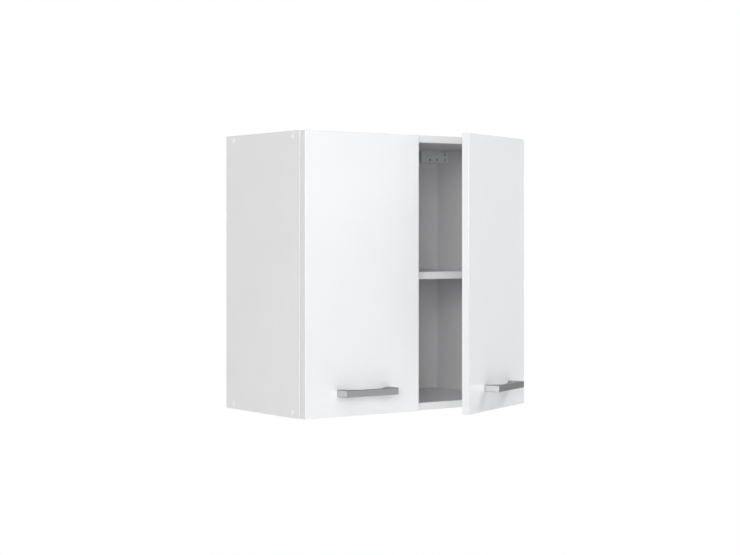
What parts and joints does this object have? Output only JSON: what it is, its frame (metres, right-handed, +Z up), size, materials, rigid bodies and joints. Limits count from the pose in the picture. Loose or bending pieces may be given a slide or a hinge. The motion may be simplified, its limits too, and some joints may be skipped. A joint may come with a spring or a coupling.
{
  "type": "hanging wall cabinet",
  "caption": "White wall-hung cabinet with two hinged doors on concealed hinges, bar handles, a loose shelf and height-adjustable hangers in its upper rear corners.",
  "frame": {"origin": "middle of the wall plane, at half the cabinet's width and height", "axes": "+X to the right seen from the front, +Y into the wall, +Z up"},
  "size_m": [0.6024, 0.4387, 0.6],
  "materials": {
    "board_white": "white melamine on chipboard, slightly pearled",
    "gloss_white": "high-gloss white foil on fibreboard",
    "back_white": "white printed hardboard",
    "cap_white": "matt white plastic",
    "handle_grey": "satin grey metal",
    "nickel": "bright nickel-plated steel",
    "zinc_steel": "zinc-plated steel",
    "clear_rubber": "clear soft plastic"
  },
  "bodies": {
    "carcass": {"left_side_panel": "board_white", "right_side_panel": "board_white", "top_board": "board_white", "bottom_board": "board_white", "back_panel": "back_white", "shelf": "board_white", "left_front_shelf_pin": "nickel", "left_rear_shelf_pin": "nickel", "right_front_shelf_pin": "nickel", "right_rear_shelf_pin": "nickel", "left_upper_front_case_screw": "zinc_steel", "left_upper_rear_case_screw": "zinc_steel", "left_lower_front_case_screw": "zinc_steel", "left_lower_rear_case_screw": "zinc_steel", "right_upper_front_case_screw": "zinc_steel", "right_upper_rear_case_screw": "zinc_steel", "right_lower_front_case_screw": "zinc_steel", "right_lower_rear_case_screw": "zinc_steel", "left_upper_front_screw_cap": "cap_white", "left_upper_rear_screw_cap": "cap_white", "left_lower_front_screw_cap": "cap_white", "left_lower_rear_screw_cap": "cap_white", "right_upper_front_screw_cap": "cap_white", "right_upper_rear_screw_cap": "cap_white", "right_lower_front_screw_cap": "cap_white", "right_lower_rear_screw_cap": "cap_white", "left_hanger_case": "zinc_steel", "right_hanger_case": "zinc_steel", "left_upper_hinge_arm": "nickel", "left_lower_hinge_arm": "nickel", "right_upper_hinge_arm": "nickel", "right_lower_hinge_arm": "nickel", "left_upper_hinge_plate": "nickel", "left_lower_hinge_plate": "nickel", "right_upper_hinge_plate": "nickel", "right_lower_hinge_plate": "nickel"},
    "left_door": {"left_door_leaf": "gloss_white", "left_handle": "handle_grey", "left_handle_outer_screw": "zinc_steel", "left_handle_inner_screw": "zinc_steel", "left_upper_hinge_cup": "nickel", "left_lower_hinge_cup": "nickel", "left_upper_hinge_pin": "zinc_steel", "left_lower_hinge_pin": "zinc_steel", "left_upper_door_bumper": "clear_rubber", "left_lower_door_bumper": "clear_rubber"},
    "right_door": {"right_door_leaf": "gloss_white", "right_handle": "handle_grey", "right_handle_outer_screw": "zinc_steel", "right_handle_inner_screw": "zinc_steel", "right_upper_hinge_cup": "nickel", "right_lower_hinge_cup": "nickel", "right_upper_hinge_pin": "zinc_steel", "right_lower_hinge_pin": "zinc_steel", "right_upper_door_bumper": "clear_rubber", "right_lower_door_bumper": "clear_rubber"},
    "left_hook": {"left_hanger_hook": "zinc_steel"},
    "right_hook": {"right_hanger_hook": "zinc_steel"}
  },
  "joints": [
    {"name": "left_door_hinge", "type": "hinge", "parent": "carcass", "child": "left_door", "pos_m": [-0.2916, -0.3068, 0], "axis": [0, 0, -1], "range_deg": [0, 95]},
    {"name": "right_door_hinge", "type": "hinge", "parent": "carcass", "child": "right_door", "pos_m": [0.2916, -0.3068, 0], "axis": [0, 0, 1], "range_deg": [-26, 69]},
    {"name": "left_hook_lift", "type": "slide", "parent": "carcass", "child": "left_hook", "axis": [0, 0, 1], "range_m": [-0.004, 0.004]},
    {"name": "right_hook_lift", "type": "slide", "parent": "carcass", "child": "right_hook", "axis": [0, 0, 1], "range_m": [-0.004, 0.004]}
  ]
}
